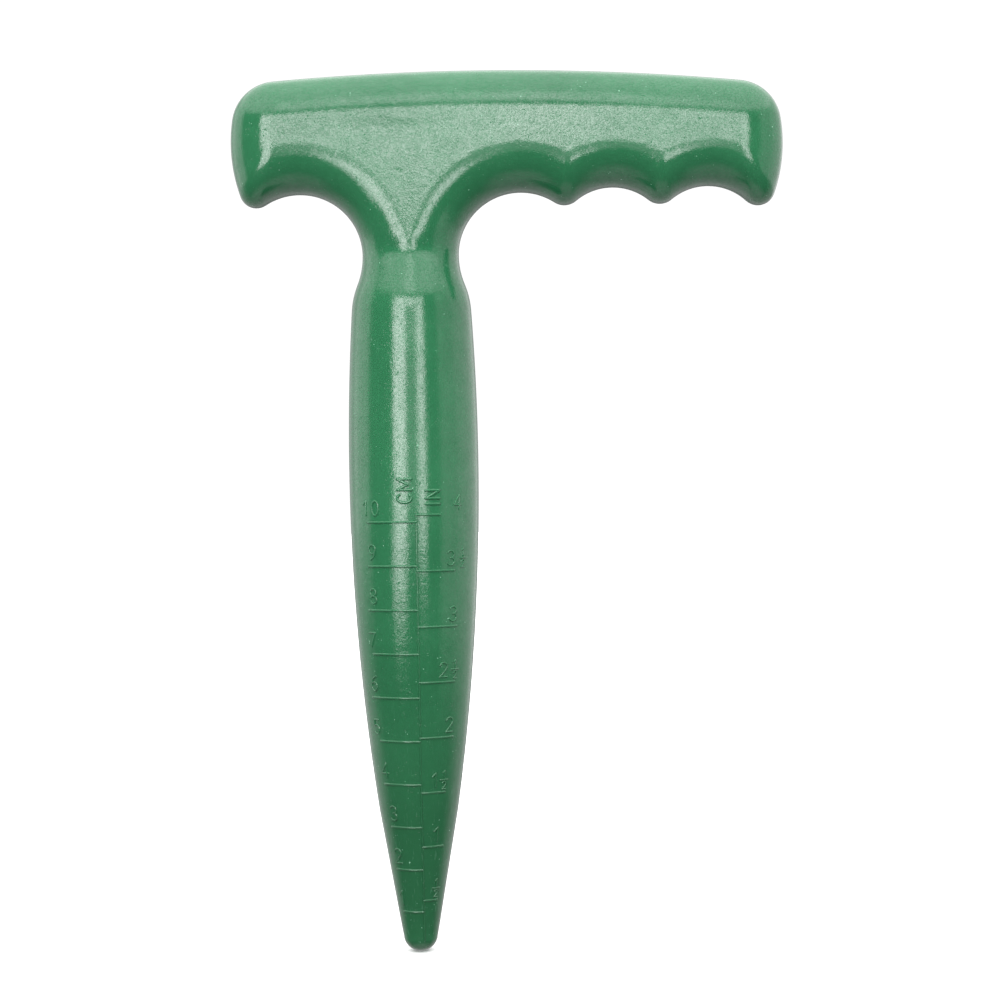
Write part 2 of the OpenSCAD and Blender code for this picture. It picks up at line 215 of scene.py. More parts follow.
# Small radii, in order: thumb tip, thumb corner, finger corner, finger tip, ridge
OUTLINE_SMALL = (3.7, 10.6, 10.5, 3.8, 4.3)
FACE_SMALL = (0.8, 0.8, 0.8, 0.8, 0.8)
FACE_KEEL = 0.6    # radius of the keel, the rounded lower end of the face
# Insets, in order: crotch, grooves, thumb end, top, finger end
NO_INSET = (0, 0, 0, 0, 0)
FACE_INSET = (neck_r - 0.5, 9.6, 10.8, 10, 10.6)
KEEL_TURN = math.radians(5)    # the part of each crotch's rim that stands opposite the keel
# Steps along the arcs, along the lower edge and along the top
N_KEEL, N_CROTCH, N_TIP, N_END, N_CORNER, N_GROOVE, N_RIDGE = 10, 50, 12, 24, 16, 24, 12
N_LOWER = 2 * (N_KEEL + N_CROTCH + N_TIP + N_RIDGE + N_GROOVE)
N_CROWN = N_LOWER - 2 * N_CORNER


def arc(centre, radius, start, end, shares, up):
    """Points along an arc between two bearings, with their number or their shares of the turn given.

    The bearing rises along the arc where up is true, and falls where it isn't.
    """
    if isinstance(shares, int):
        shares = np.arange(shares) / shares
    turn = (end - start) % math.tau if up else -((start - end) % math.tau)
    return on_arc(centre, radius, start + turn * shares)


def touch_bearing(here, there):
    """Bearing, from the centre of one circle of a chain, of the point at which it touches its neighbour."""
    if here["up"] != there["up"]:
        return bearing(here["centre"], there["centre"])
    large, small = sorted((here, there), key=lambda circle: -circle["radius"])
    return bearing(large["centre"], small["centre"])


def handle_loop(inset, small, keel, crown_shares):
    """The handle's outline from the thumb side of the neck round to its finger side, set in by the insets.

    It is a chain of arcs that run smoothly into each other. Where keel isn't 0, its lower end is rounded to
    that radius. Names that end in _t are on the thumb side and in _f on the finger side; ridge_o is the
    outer ridge and ridge_i the inner one.
    """
    crotch_t, crotch_f, groove = thumb_crotch_r + inset[0], finger_crotch_r + inset[0], groove_r + inset[1]
    thumb, crown, finger = thumb_end_arc - inset[2], crown_arc - inset[3], finger_end_arc - inset[4]
    tip_t = meet(thumb_crotch, crotch_t + small[0], thumb_end_c, thumb - small[0], 1)
    corner_t = meet(thumb_end_c, thumb - small[1], crown_c, crown - small[1], -1)
    corner_f = meet(crown_c, crown - small[2], finger_end_c, finger - small[2], -1)
    tip_f = meet(finger_end_c, finger - small[3], outer_groove, groove + small[3], 1)
    ridge_o = meet(outer_groove, groove + small[4], middle_groove, groove + small[4], -1)
    ridge_i = meet(middle_groove, groove + small[4], finger_crotch, crotch_f + small[4], -1)
    if keel:
        keel_c = meet(thumb_crotch, crotch_t + keel, finger_crotch, crotch_f + keel, 1)
        turn_t, turn_f = bearing(thumb_crotch, keel_c), bearing(finger_crotch, keel_c)
        first = arc(keel_c, keel, -math.pi / 2, turn_t + math.pi, N_KEEL, False)
        last = arc(keel_c, keel, turn_f - math.pi, -math.pi / 2, N_KEEL, False)
        foot = keel_c - point(0, keel)
    else:
        turn_t, turn_f = KEEL_TURN, math.pi - KEEL_TURN
        first = arc(thumb_crotch, crotch_t, 0, turn_t, N_KEEL, True)
        last = arc(finger_crotch, crotch_f, turn_f, math.pi, N_KEEL, True)
        foot = finger_crotch - point(crotch_f, 0)
    chain = [dict(centre=centre, radius=radius, shares=shares, up=up) for centre, radius, shares, up in (
        (thumb_crotch, crotch_t, N_CROTCH, True),
        (tip_t, small[0], N_TIP, False),
        (thumb_end_c, thumb, N_END, False),
        (corner_t, small[1], N_CORNER, False),
        (crown_c, crown, crown_shares, False),
        (corner_f, small[2], N_CORNER, False),
        (finger_end_c, finger, N_END, False),
        (tip_f, small[3], N_TIP, False),
        (outer_groove, groove, N_GROOVE, True),
        (ridge_o, small[4], N_RIDGE, False),
        (middle_groove, groove, N_GROOVE, True),
        (ridge_i, small[4], N_RIDGE, False),
        (finger_crotch, crotch_f, N_CROTCH, True),
    )]
    starts = [turn_t] + [touch_bearing(here, before) for before, here in zip(chain, chain[1:])]
    ends = [touch_bearing(here, after) for here, after in zip(chain, chain[1:])] + [turn_f]
    arcs = [arc(start=start, end=end, **circle) for circle, start, end in zip(chain, starts, ends)]
    return np.concatenate([first, *arcs, last, [foot]])


# Places in a loop: the lower ends of its thumb end and of its finger end
LOW_LEFT = N_KEEL + N_CROTCH + N_TIP
LOW_RIGHT = LOW_LEFT + N_END + N_LOWER + N_END


def lower_edge(loop):
    """The points of the loop from the thumb tip by way of the neck to the finger tip."""
    return np.concatenate([loop[LOW_LEFT::-1], loop[-2:LOW_RIGHT - 1:-1]])


def crown_steps():
    """Shares of the crown at which its points stand straight above those of the face's lower edge."""
    x = lower_edge(handle_loop(FACE_INSET, FACE_SMALL, FACE_KEEL, N_CROWN))[N_CORNER:-N_CORNER - 1, 0]
    last_share = 1 - 0.5 / N_CROWN
    return (x - x[0]) / (x[-1] - x[0]) * last_share


rim = handle_loop(NO_INSET, OUTLINE_SMALL, 0, crown_steps())
face = handle_loop(FACE_INSET, FACE_SMALL, FACE_KEEL, crown_steps())
keel_half_w = abs(face[N_KEEL, 0])

# ---- surface of a half shell ----

# A section runs from the rim (turn 0) to the edge of the face or the middle of the spike (90 degrees)
N_TURN = 26        # steps of a section
SEAM_TURNS = np.radians([0, 0.9, 1.8])   # first turns of a section, close to the rim
RIM_EASES = (0.12, 0.03)                 # how far the first two are eased back, which rounds the rim's edge
BEND_Z = 150       # above this the rings round the neck bend up to the foot of the flat face
NOSE_TURNS = np.arange(84, 9, -6)        # of the rings round the rounded point, in degrees
# Steps between the rings above it: long ones up to this height, and short ones from there to the neck
SPLIT_Z, N_BELOW_SPLIT, N_ABOVE_SPLIT = 120, 43, 35
# Below the V of the face the sections are filled out up to this height, over this turn from their middle
FILL_Z = 163
FILL_TURN = math.radians(30)
# A crest runs down from the V: its middle, how wide and how high it reaches, and how far the sides drop
CREST_Z, CREST_HALF_W, CREST_HALF_H, CREST_DROP = 163, 2.5, 3.2, 0.5
# The sink mark in the face: its place, its size and its depth
SINK_X, SINK_Z, SINK_HALF_W, SINK_HALF_H, SINK_DEPTH = -3, 190, 11, 2.2, 0.1
SAME_POINT = 0.001    # points of a shell closer together than this are one


def section_turns():
    """Turns of a section from the rim to its middle, and how far each is eased back from the outline."""
    turns = np.append(SEAM_TURNS, np.linspace(SEAM_TURNS[-1], math.pi / 2, N_TURN)[1:])
    ease = np.zeros(len(turns))
    ease[:2] = RIM_EASES
    return turns, ease


def spike_levels():
    """Heights of the rings round the spike, closer together where it curves most."""
    nose = nose_r * (1 - np.sin(np.radians(NOSE_TURNS)))
    below = np.linspace(cone_z, SPLIT_Z, N_BELOW_SPLIT + 1)
    above = np.linspace(SPLIT_Z, neck_z, N_ABOVE_SPLIT + 1)
    return np.concatenate([nose, below, above[1:]])


def fill_out(turns, z):
    """Share and width by which a section is filled out below the V, so that the V doesn't end in a ledge."""
    near = np.clip((math.pi / 2 - turns) / FILL_TURN, 0, 1)
    up = np.clip((z - BEND_Z) / (FILL_Z - BEND_Z), 0, 1)
    return smooth_step(near) * (1 - np.cos(turns)), keel_half_w * smooth_step(up)


def crest_drop(x, z):
    """How much lower the surface lies on either side of the crest that runs down from the V of the face."""
    off_middle = 1 - np.exp(-(x / CREST_HALF_W) ** 2)
    return CREST_DROP * off_middle * np.exp(-((z - CREST_Z) / CREST_HALF_H) ** 2)


def handle_patch():
    """Grid of points over the rounded side of the handle: one row for each point of the outline."""
    turns, ease = section_turns()
    way = rim - face
    share = np.cos(turns) - ease / np.linalg.norm(way, axis=1)[:, None]
    plane = face[:, None] + way[:, None] * share[..., None]
    x, z = plane[..., 0], plane[..., 1]
    face_x = face[:, :1]
    filled, width = fill_out(turns, z)
    filled_x = x + filled * (np.sign(rim[:, :1]) * width - face_x)
    x = np.where(np.abs(face_x) > keel_half_w + SAME_POINT, x, filled_x)
    y = -half_weld - (depth(z) - crest_drop(x, z) - half_weld) * np.sin(turns)
    return np.stack([x, y, z], -1)


def spike_patch(top):
    """Grid of points round the spike, up to its top ring, towards which the rings below bend up."""
    turns, ease = section_turns()
    side = np.append(turns, math.pi - turns[-2::-1])
    ease = np.append(ease, ease[-2::-1])
    z = spike_levels()[:-1, None]
    bend = np.clip((z - BEND_Z) / (neck_z - BEND_Z), 0, 1) ** 2
    z = z + (top[:, 2] - neck_z) * bend
    filled, width = fill_out(np.minimum(side, math.pi - side), z)
    x = -(spike_r(z) - ease * np.minimum(spike_r(z) / nose_r, 1)) * np.cos(side)
    x = x - np.sign(np.cos(side)) * filled * width
    y = -half_weld - (depth(z) - crest_drop(x, z) - half_weld) * np.sin(side)
    return np.concatenate([np.stack([x, y, z], -1), top[None]])


def nose_patch(ring):
    """Fan of faces from the lowest ring to the point of the spike."""
    return np.stack([np.broadcast_to([0, -half_weld, 0], ring.shape), ring])


def length_share(line):
    """How far along a line each of its points is, from 0 to 1."""
    steps = np.linalg.norm(np.diff(line, axis=0), axis=1)
    return np.append(0, np.cumsum(steps)) / steps.sum()


def sink_mark(x, z):
    """Depth of the shallow dent that shrinkage has left in the face, above the neck."""
    return SINK_DEPTH * np.exp(-((x - SINK_X) / SINK_HALF_W) ** 2 - ((z - SINK_Z) / SINK_HALF_H) ** 2)


def face_patch():
    """Grid of points over the flat face, between its lower edge, its top edge and its two ends.

    Each column runs from a point of the lower edge to one of the top edge, and bulges with the nearer end.
    """
    top_left = LOW_LEFT + N_END
    top_right = top_left + N_LOWER
    low = lower_edge(face)
    left = face[LOW_LEFT:top_left + 1]
    top = face[top_left:top_right + 1]
    right = face[LOW_RIGHT:top_right - 1:-1]
    t = ((length_share(left) + length_share(right)) / 2)[:, None, None]
    s = (np.arange(N_LOWER + 1) / N_LOWER)[None, :, None]
    across = (1 - t) * low[None] + t * top[None]
    left_bulge = left[:, None] - (1 - t) * low[0] - t * top[0]
    right_bulge = right[:, None] - (1 - t) * low[-1] - t * top[-1]
    plane = across + left_bulge * (1 - s) ** 4 + right_bulge * s**4
    x, z = plane[..., 0], plane[..., 1]
    return np.stack([x, sink_mark(x, z) + crest_drop(x, z) - depth(z), z], -1)


def grid_faces(rows, columns, start):
    """Quads of a grid of points that are numbered row by row from start."""
    low = start + np.arange(rows - 1)[:, None] * columns + np.arange(columns - 1)[None]
    return np.stack([low, low + 1, low + columns + 1, low + columns], -1).reshape(-1, 4)


def new_mesh(name, points, faces):
    """A mesh from points in millimetres."""
    mesh = bpy.data.meshes.new(name)
    mesh.from_pydata((points * MM).tolist(), [], faces)
    return mesh


def finish_mesh(mesh, merge=False):
    """Merges points of the same place if asked, turns the faces outwards and makes open edges sharp."""
    work = bmesh.new()
    work.from_mesh(mesh)
    if merge:
        bmesh.ops.remove_doubles(work, verts=work.verts, dist=SAME_POINT * MM)
    bmesh.ops.recalc_face_normals(work, faces=work.faces)
    for edge in work.edges:
        edge.smooth = not edge.is_boundary
    work.to_mesh(mesh)
    work.free()


def add_object(name, mesh, material):
    """A piece of the tool, which rides its one body."""
    mesh.shade_smooth()
    mesh.materials.append(material)
    piece = bpy.data.objects.new(name, mesh)
    bpy.context.scene.collection.objects.link(piece)
    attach(piece, "root")
    return piece


def make_half(name, side, material):
    """One half shell: its skin, made of the patches, with a wall inwards of it. Side is -1 for the front."""
    handle = handle_patch()
    spike = spike_patch(np.concatenate([handle[0], handle[-1, -2::-1]]))
    patches = [handle, spike, nose_patch(spike[0]), face_patch()]
    faces = []
    start = 0
    for patch in patches:
        faces.append(grid_faces(*patch.shape[:2], start))
        start += patch.shape[0] * patch.shape[1]
    points = np.concatenate([patch.reshape(-1, 3) for patch in patches]) * (1, -side, 1)
    mesh = new_mesh(name, points, np.concatenate(faces).tolist())
    finish_mesh(mesh, merge=True)
    piece = add_object(name, mesh, material)
    shell = piece.modifiers.new("wall", "SOLIDIFY")
    shell.thickness = wall * MM
    shell.offset = -1
    return piece


# ---- seam between the shells ----

# Section of the seam: how far inside the outline each point lies, and its share of the film's half thickness
SEAM_SECTION = [(0.25, -0.9), (0.15, -0.5), (0.12, 0), (0.15, 0.5), (0.25, 0.9), (1.9, 0.9), (1.9, -0.9)]


def tool_outline():
    """Closed outline of the tool in the parting plane, and the way inwards at each of its points."""
    z = spike_levels()[:-1]
    left = np.stack([-spike_r(z), z], -1)
    line = np.concatenate([[point(0, 0)], left, rim, left[::-1] * (-1, 1)])
    way = np.roll(line, -1, 0) - np.roll(line, 1, 0)
    inwards = np.stack([way[:, 1], -way[:, 0]], -1)
    return line, inwards / np.linalg.norm(inwards, axis=1)[:, None]


def make_seam(name, material):
    """The ring of melted plastic between the two rims: a flat band with a rounded outer edge."""
    line, inwards = tool_outline()
    rings = [np.insert(line + inwards * inset, 1, share * half_weld, axis=1) for inset, share in SEAM_SECTION]
    points = np.stack(rings, 1)
    count, width = points.shape[:2]
    low = np.arange(count)[:, None] * width
    high = np.roll(low, -1, 0)
    step = np.arange(width)[None]
    turn = (step + 1) % width
    faces = np.stack([low + step, low + turn, high + turn, high + step], -1).reshape(-1, 4)
    return add_object(name, new_mesh(name, points.reshape(-1, 3), faces.tolist()), material)


# ---- depth scale ----

CM_STEP, HALF_INCH_STEP = 10, 12.7
# The upright line: its place beside the middle line, its lower end, and its size beside the other lines
SPINE_X, SPINE_FOOT, SPINE_SHARE = 1.0, 3.0, 0.8
# Where each line ends and where its figure stands, in degrees round from the front, from the lowest line up.
# They differ from line to line, as on the real tool.
CM_REACH = (45, 46, 44, 47, 45, 52, 44, 47, 44, 43)
CM_FIGURE_TURN = (43, 39, 37, 44, 50, 47, 45, 40, 39, 40)
CM_RISE = 3.2      # how far the middle of a figure stands above its line
INCH_REACH = (45, 45, 39, 46, 44, 44, 40, 25)
INCH_FIGURE_TURN = (39, 31, 24, 40, 30, 39.5, 36, 43)
INCH_HALF_TURN = (39, None, 37, None, 44, None, 50, None)
INCH_RISE = 2.8
# Width and lift of each kind of ridge
LINE_W, LINE_LIFT = 0.55, 0.3
FIGURE_W, FIGURE_LIFT = 0.42, 0.24
FINE_W = 0.8 * FIGURE_W
UNIT_W, UNIT_LIFT = 0.7, 0.32
# Heights of the figures, of the small ones in a half, and of the letters
FIGURE_H, HALF_H, UNIT_H = 3.3, 1.7, 3.2
HALF_GAP = 0.75 * HALF_H      # from the bar of a half to the middle of each of its figures
CM_PLACE, INCH_PLACE = (-6.2, 107), (18.4, 105.4)    # turn in degrees and height of the unit marks
LINE_POINTS, SPINE_POINTS, STROKE_POINTS = 24, 60, 8
ARC_STEP = 12      # degrees between the points of a figure's arcs
# Section of a ridge, and turns of the rings that round off its ends
RIDGE_TURNS = np.radians(np.arange(0, 181, 30))
RIDGE_ENDS = np.radians([75, 40])
RIDGE_ROOT = 0.5   # how far a ridge reaches into the skin, as a share of its lift

# Strokes on a box one unit high: a line is (x0, z0, x1, z1), an arc (x, z, half width, half height, from, to)
GLYPHS = {
    "0": [(0.3, 0.5, 0.27, 0.5, 0, 360)],
    "1": [(0.34, 0, 0.34, 1), (0.34, 1, 0.08, 0.74)],
    "2": [(0.3, 0.72, 0.27, 0.28, 170, -50), (0.48, 0.51, 0.03, 0), (0.03, 0, 0.6, 0)],
    "3": [(0.28, 0.75, 0.26, 0.25, 150, -90), (0.28, 0.26, 0.29, 0.26, 90, -150)],
    "4": [(0.46, 0, 0.46, 1), (0.46, 1, 0.02, 0.3), (0.02, 0.3, 0.64, 0.3)],
    "5": [(0.55, 1, 0.12, 1), (0.12, 1, 0.07, 0.56), (0.28, 0.32, 0.28, 0.32, 130, -140)],
    "6": [(0.3, 0.3, 0.27, 0.3, 0, 360), (0.55, 0.3, 0.52, 0.7, 180, 95)],
    "7": [(0.03, 1, 0.6, 1), (0.6, 1, 0.2, 0)],
    "8": [(0.3, 0.75, 0.23, 0.25, 0, 360), (0.3, 0.25, 0.28, 0.25, 0, 360)],
    "9": [(0.3, 0.7, 0.27, 0.3, 0, 360), (0.05, 0.7, 0.52, 0.7, 0, -85)],
    "C": [(0.34, 0.5, 0.32, 0.5, 45, 315)],
    "M": [(0, 0, 0, 1), (0, 1, 0.38, 0.25), (0.38, 0.25, 0.76, 1), (0.76, 1, 0.76, 0)],
    "I": [(0.1, 0, 0.1, 1)],
    "N": [(0, 0, 0, 1), (0, 1, 0.56, 0), (0.56, 0, 0.56, 1)],
    "-": [(0, 0, 0.6, 0)],
}
GLYPH_W = {"M": 0.76, "I": 0.2, "N": 0.56, "C": 0.62}
FIGURE_GLYPH_W = 0.6
GLYPH_GAP = 0.3


def spike_surface(turn, z):
    """Points and outward normals of the round spike at turns from the front (radians) and heights."""
    step = 0.05
    slope = (spike_r(z + step) - spike_r(z - step)) / (2 * step)
    flat = np.stack([np.sin(turn), -np.cos(turn), np.zeros_like(turn)], -1)
    points = flat * spike_r(z)[:, None] + np.stack([0 * z, 0 * z, z], -1)
    normals = flat - np.stack([0 * z, 0 * z, slope], -1)
    return points, normals / np.linalg.norm(normals, axis=1)[:, None]


def ridge(turn, z, width, lift):
    """Points and faces of a raised line with a round back and round ends, along a path on the spike."""
    points, normals = spike_surface(turn, z)
    ways = np.gradient(points, axis=0)
    ways /= np.linalg.norm(ways, axis=1)[:, None]
    first, last = RIDGE_ENDS, RIDGE_ENDS[::-1]
    stretch = np.concatenate([-np.sin(first), np.zeros(len(points)), np.sin(last)]) * width / 2
    size = np.concatenate([np.cos(first), np.ones(len(points)), np.cos(last)])
    pick = np.clip(np.arange(len(size)) - len(first), 0, len(points) - 1)
    points, normals, ways = points[pick] + ways[pick] * stretch[:, None], normals[pick], ways[pick]
    sides = np.cross(normals, ways)
    out = np.concatenate([[-1], np.cos(RIDGE_TURNS)[::-1], [1]]) * width / 2
    up = np.concatenate([[-RIDGE_ROOT], np.sin(RIDGE_TURNS), [-RIDGE_ROOT]]) * lift
    rings = (points[:, None] + sides[:, None] * (out[None] * size[:, None])[..., None]
             + normals[:, None] * (up[None] * size[:, None])[..., None])
    count = len(out)
    faces = []
    for k in range(len(size) - 1):
        for i in range(count):
            j = (i + 1) % count
            faces.append((k * count + i, k * count + j, (k + 1) * count + j, (k + 1) * count + i))
    faces.append(tuple(range(count)))
    faces.append(tuple(range(len(size) * count - 1, (len(size) - 1) * count - 1, -1)))
    return rings.reshape(-1, 3), faces


def stroke_path(stroke):
    """Points of one stroke of a figure, on the box that is one unit high."""
    if len(stroke) == 4:
        return np.linspace(stroke[:2], stroke[2:], STROKE_POINTS)
    x, z, half_w, half_h, start, end = stroke
    count = max(STROKE_POINTS, int(abs(end - start) / ARC_STEP))
    turn = np.radians(np.linspace(start, end, count))
    return np.stack([x + half_w * np.cos(turn), z + half_h * np.sin(turn)], -1)


def written(text, turn, z, height, width, lift, upright=False):
    """Ridges that write a text centred at a turn (degrees) and height; upright text reads from below."""
    widths = [GLYPH_W.get(glyph, FIGURE_GLYPH_W) for glyph in text]
    pen = -(sum(widths) + GLYPH_GAP * (len(text) - 1)) / 2
    ridges = []
    for glyph, glyph_w in zip(text, widths):
        for stroke in GLYPHS[glyph]:
            path = (stroke_path(stroke) + (pen, -0.5)) * height
            if upright:
                path = np.stack([-path[:, 1], path[:, 0]], -1)
            turns = math.radians(turn) + path[:, 0] / spike_r(z)
            ridges.append(ridge(turns, z + path[:, 1], width, lift))
        pen += glyph_w + GLYPH_GAP
    return ridges


def scale_lines():
    """Centimetre lines on the left, half inch lines on the right, and the upright line between them."""
    ridges = []
    for step, reaches, side in ((CM_STEP, CM_REACH, -1), (HALF_INCH_STEP, INCH_REACH, 1)):
        for i, reach in enumerate(reaches, 1):
            start = math.asin(SPINE_X / spike_r(i * step))
            turns = np.linspace(start, math.radians(side * reach), LINE_POINTS)
            ridges.append(ridge(turns, np.full(LINE_POINTS, i * step), LINE_W, LINE_LIFT))
    z = np.linspace(SPINE_FOOT, len(INCH_REACH) * HALF_INCH_STEP, SPINE_POINTS)
    ridges.append(ridge(np.arcsin(SPINE_X / spike_r(z)), z, LINE_W * SPINE_SHARE, LINE_LIFT * SPINE_SHARE))
    return ridges


def half_mark(turn, z):
    """A small one over two, with a bar between them: the foot of a box two figures high."""
    high = written("1", turn, z + HALF_GAP, HALF_H, FINE_W, FIGURE_LIFT)
    bar = written("-", turn, z + HALF_H, HALF_H * 2, FIGURE_W, FIGURE_LIFT)
    low = written("2", turn, z - HALF_GAP, HALF_H, FINE_W, FIGURE_LIFT)
    return high + bar + low


def scale_figures():
    """A figure over each centimetre line, and whole inches and halves over the half inch lines."""
    ridges = []
    for i, turn in enumerate(CM_FIGURE_TURN, 1):
        ridges += written(str(i), -turn, i * CM_STEP + CM_RISE, FIGURE_H, FIGURE_W, FIGURE_LIFT)
    for i, (turn, half_turn) in enumerate(zip(INCH_FIGURE_TURN, INCH_HALF_TURN), 1):
        z = i * HALF_INCH_STEP + INCH_RISE
        if i > 1:
            ridges += written(str(i // 2), turn, z, FIGURE_H, FIGURE_W, FIGURE_LIFT)
        if half_turn is not None:
            ridges += half_mark(half_turn, z)
    return ridges


def unit_marks():
    cm = written("CM", *CM_PLACE, UNIT_H, UNIT_W, UNIT_LIFT, upright=True)
    inch = written("IN", *INCH_PLACE, UNIT_H, UNIT_W, UNIT_LIFT, upright=True)
    return cm + inch


def make_marks(name, ridges, material):
    """One piece out of many ridges, which stand in the skin of the front shell."""
    points, faces = [], []
    start = 0
    for ridge_points, ridge_faces in ridges:
        points.append(ridge_points)
        faces += [tuple(start + i for i in corners) for corners in ridge_faces]
        start += len(ridge_points)
    mesh = new_mesh(name, np.concatenate(points), faces)
    finish_mesh(mesh)
    return add_object(name, mesh, material)


# ---- materials: places are in metres ----

SPECK_COLOUR = (0.2, 0.45, 0.3, 1)       # of light specks and scratches
# Painted shade: a dark colour that the spike is blended towards near its point, standing in for the shade
# that falls there
TIP_SHADE_COLOUR = (0.012, 0.05, 0.02, 1)
TIP_SHADE_TOP, TIP_SHADE_SHARE = 0.11, 0.5         # where the painted shade towards the point ends, and how strong it is at the point
RUB_TOP, RUB_SHARES = 0.06, (0.12, 0.02)      # how strong scratches are at the point, and from this height up
PEEL_DEPTH, GRAIN_DEPTH, SPECK_DEPTH = 0.00003, 0.00002, 0.00003
ROUGHNESS = (0.11, 0.15)
DULL_ROUGHNESS = 0.2                     # added in pits and scratches
FINE_SHINE, BROAD_SHINE = (0.31, 0.61), (0, 0.09)      # these add up to about 0.5, the usual shine
PIT_SHINE = 0.25                         # taken off in pits
PLASTIC_IOR = 1.49
PALE_FLOOR, PALEST_FLOOR = (0.86, 0.86, 0.86, 1), (0.9, 0.9, 0.9, 1)


def add_node(tree, kind, inputs=(), **settings):
    """A node with its settings, whose inputs are given as (name or number, value or socket) pairs."""
    node = tree.nodes.new(kind)
    for key, value in settings.items():
        setattr(node, key, value)
    for key, value in inputs:
        if isinstance(value, bpy.types.NodeSocket):
            tree.links.new(value, node.inputs[key])
        else:
            node.inputs[key].default_value = value
    return node


def noise(tree, place, scale, detail=3, roughness=0.5):
    """A cloudy pattern around 0.5."""
    return add_node(tree, "ShaderNodeTexNoise", [
        ("Vector", place), ("Scale", scale), ("Detail", detail), ("Roughness", roughness)]).outputs["Fac"]


def ramp(tree, value, low, high, out_low=0, out_high=1):
    """A value's smooth passage from one level to another between two thresholds."""
    return add_node(tree, "ShaderNodeMapRange", [
        ("Value", value), ("From Min", low), ("From Max", high), ("To Min", out_low), ("To Max", out_high)],
        interpolation_type="SMOOTHSTEP").outputs["Result"]


def math_node(tree, operation, *values):
    return add_node(tree, "ShaderNodeMath", list(enumerate(values)), operation=operation).outputs[0]


def blend_colours(tree, share, low, high):
    """Mix of two colours. A colour mix node's colours are its inputs 6 and 7, and its result is output 2."""
    return add_node(tree, "ShaderNodeMix", [(0, share), (6, low), (7, high)], data_type="RGBA").outputs[2]


def specks(tree, place, scale, low, high):
    """Mask of small irregular specks: the peaks of a fine noise, thinned out by a coarser one."""
    fine = ramp(tree, noise(tree, place, scale, 1), low, high)
    spread = ramp(tree, noise(tree, place, scale * 0.17, 1), 0.45, 0.65)
    return math_node(tree, "MULTIPLY", fine, spread)


def height_of(tree, place):
    return add_node(tree, "ShaderNodeSeparateXYZ", [("Vector", place)]).outputs["Z"]


def scratches(tree, place):
    """Mask of fine upright scratches, strongest towards the point, where the spike rubs in soil."""
    stretch = (2600, 2600, 110)
    stretched = add_node(tree, "ShaderNodeMapping", [("Vector", place), ("Scale", stretch)]).outputs[0]
    fine = ramp(tree, noise(tree, stretched, 1, 2), 0.62, 0.72)
    rubbed = ramp(tree, height_of(tree, place), 0, RUB_TOP, *RUB_SHARES)
    return math_node(tree, "MULTIPLY", fine, rubbed)


def bump(tree, relief, distance, strength=1, normal=None):
    """Normals of a surface with a relief, on top of the normals of a coarser one."""
    inputs = [("Height", relief), ("Distance", distance), ("Strength", strength)]
    if normal is not None:
        inputs.append(("Normal", normal))
    return add_node(tree, "ShaderNodeBump", inputs).outputs["Normal"]


def moulded_plastic(name, deep, pale):
    """Semi-gloss moulded plastic: cloudy colour, pale and dark specks, fine grain, light scratches, and
    painted shade that darkens it towards the point.
    """
    material = bpy.data.materials.new(name)
    material.use_nodes = True
    tree = material.node_tree
    tree.nodes.clear()
    place = add_node(tree, "ShaderNodeTexCoord").outputs["Object"]
    cloud = ramp(tree, noise(tree, place, 45, 2), 0.3, 0.7)
    mottle = ramp(tree, noise(tree, place, 600, 3), 0.45, 0.75, 0, 0.3)
    light_specks = specks(tree, place, 1700, 0.73, 0.79)
    pits = specks(tree, place, 2400, 0.64, 0.72)
    rub = scratches(tree, place)
    paleness = math_node(tree, "ADD", math_node(tree, "MULTIPLY", cloud, 0.5), mottle)
    colour = blend_colours(tree, paleness, deep, pale)
    # Painted shade: the colour is darkened from this height down to the point, in place of the shade on the
    # lower spike
    tip_shade = ramp(tree, height_of(tree, place), 0, TIP_SHADE_TOP, TIP_SHADE_SHARE, 0)
    colour = blend_colours(tree, tip_shade, colour, TIP_SHADE_COLOUR)
    colour = blend_colours(tree, math_node(tree, "MAXIMUM", light_specks, rub), colour, SPECK_COLOUR)
    grain = noise(tree, place, 2600, 3, 0.6)
    peel = noise(tree, place, 700, 2)
    normal = bump(tree, peel, PEEL_DEPTH)
    normal = bump(tree, grain, GRAIN_DEPTH, 1, normal)
    normal = bump(tree, math_node(tree, "SUBTRACT", light_specks, pits), SPECK_DEPTH, 0.7, normal)
    dull = math_node(tree, "MULTIPLY", math_node(tree, "MAXIMUM", pits, rub), DULL_ROUGHNESS)
    roughness = math_node(tree, "ADD", ramp(tree, cloud, 0, 1, *ROUGHNESS), dull)
    fine_shine = ramp(tree, noise(tree, place, 2600, 3), 0.35, 0.65, *FINE_SHINE)
    broad_shine = ramp(tree, noise(tree, place, 320, 4, 0.6), 0.35, 0.65, *BROAD_SHINE)
    shine = math_node(tree, "ADD", fine_shine, broad_shine)
    shine = math_node(tree, "SUBTRACT", shine, math_node(tree, "MULTIPLY", pits, PIT_SHINE))
    shader = add_node(tree, "ShaderNodeBsdfPrincipled", [
        ("Base Color", colour), ("Roughness", roughness), ("Normal", normal), ("IOR", PLASTIC_IOR),
        ("Specular IOR Level", shine),
        ("Subsurface Weight", 0.06), ("Subsurface Radius", (0.4, 1.0, 0.6)), ("Subsurface Scale", 0.002)])
    add_node(tree, "ShaderNodeOutputMaterial", [("Surface", shader.outputs[0])])
    return material


def floor_paint():
    """Matt pale grey, slightly cloudy."""
    material = bpy.data.materials.new("floor_paint")
    material.use_nodes = True
    tree = material.node_tree
    place = add_node(tree, "ShaderNodeTexCoord").outputs["Object"]
    cloud = noise(tree, place, 3, 2)
    shader = tree.nodes["Principled BSDF"]
    tree.links.new(blend_colours(tree, cloud, PALE_FLOOR, PALEST_FLOOR), shader.inputs["Base Color"])
    shader.inputs["Roughness"].default_value = 0.9
    shader.inputs["Specular IOR Level"].default_value = 0
    return material


# ---- studio ----

FLOOR_HALF = 6.0

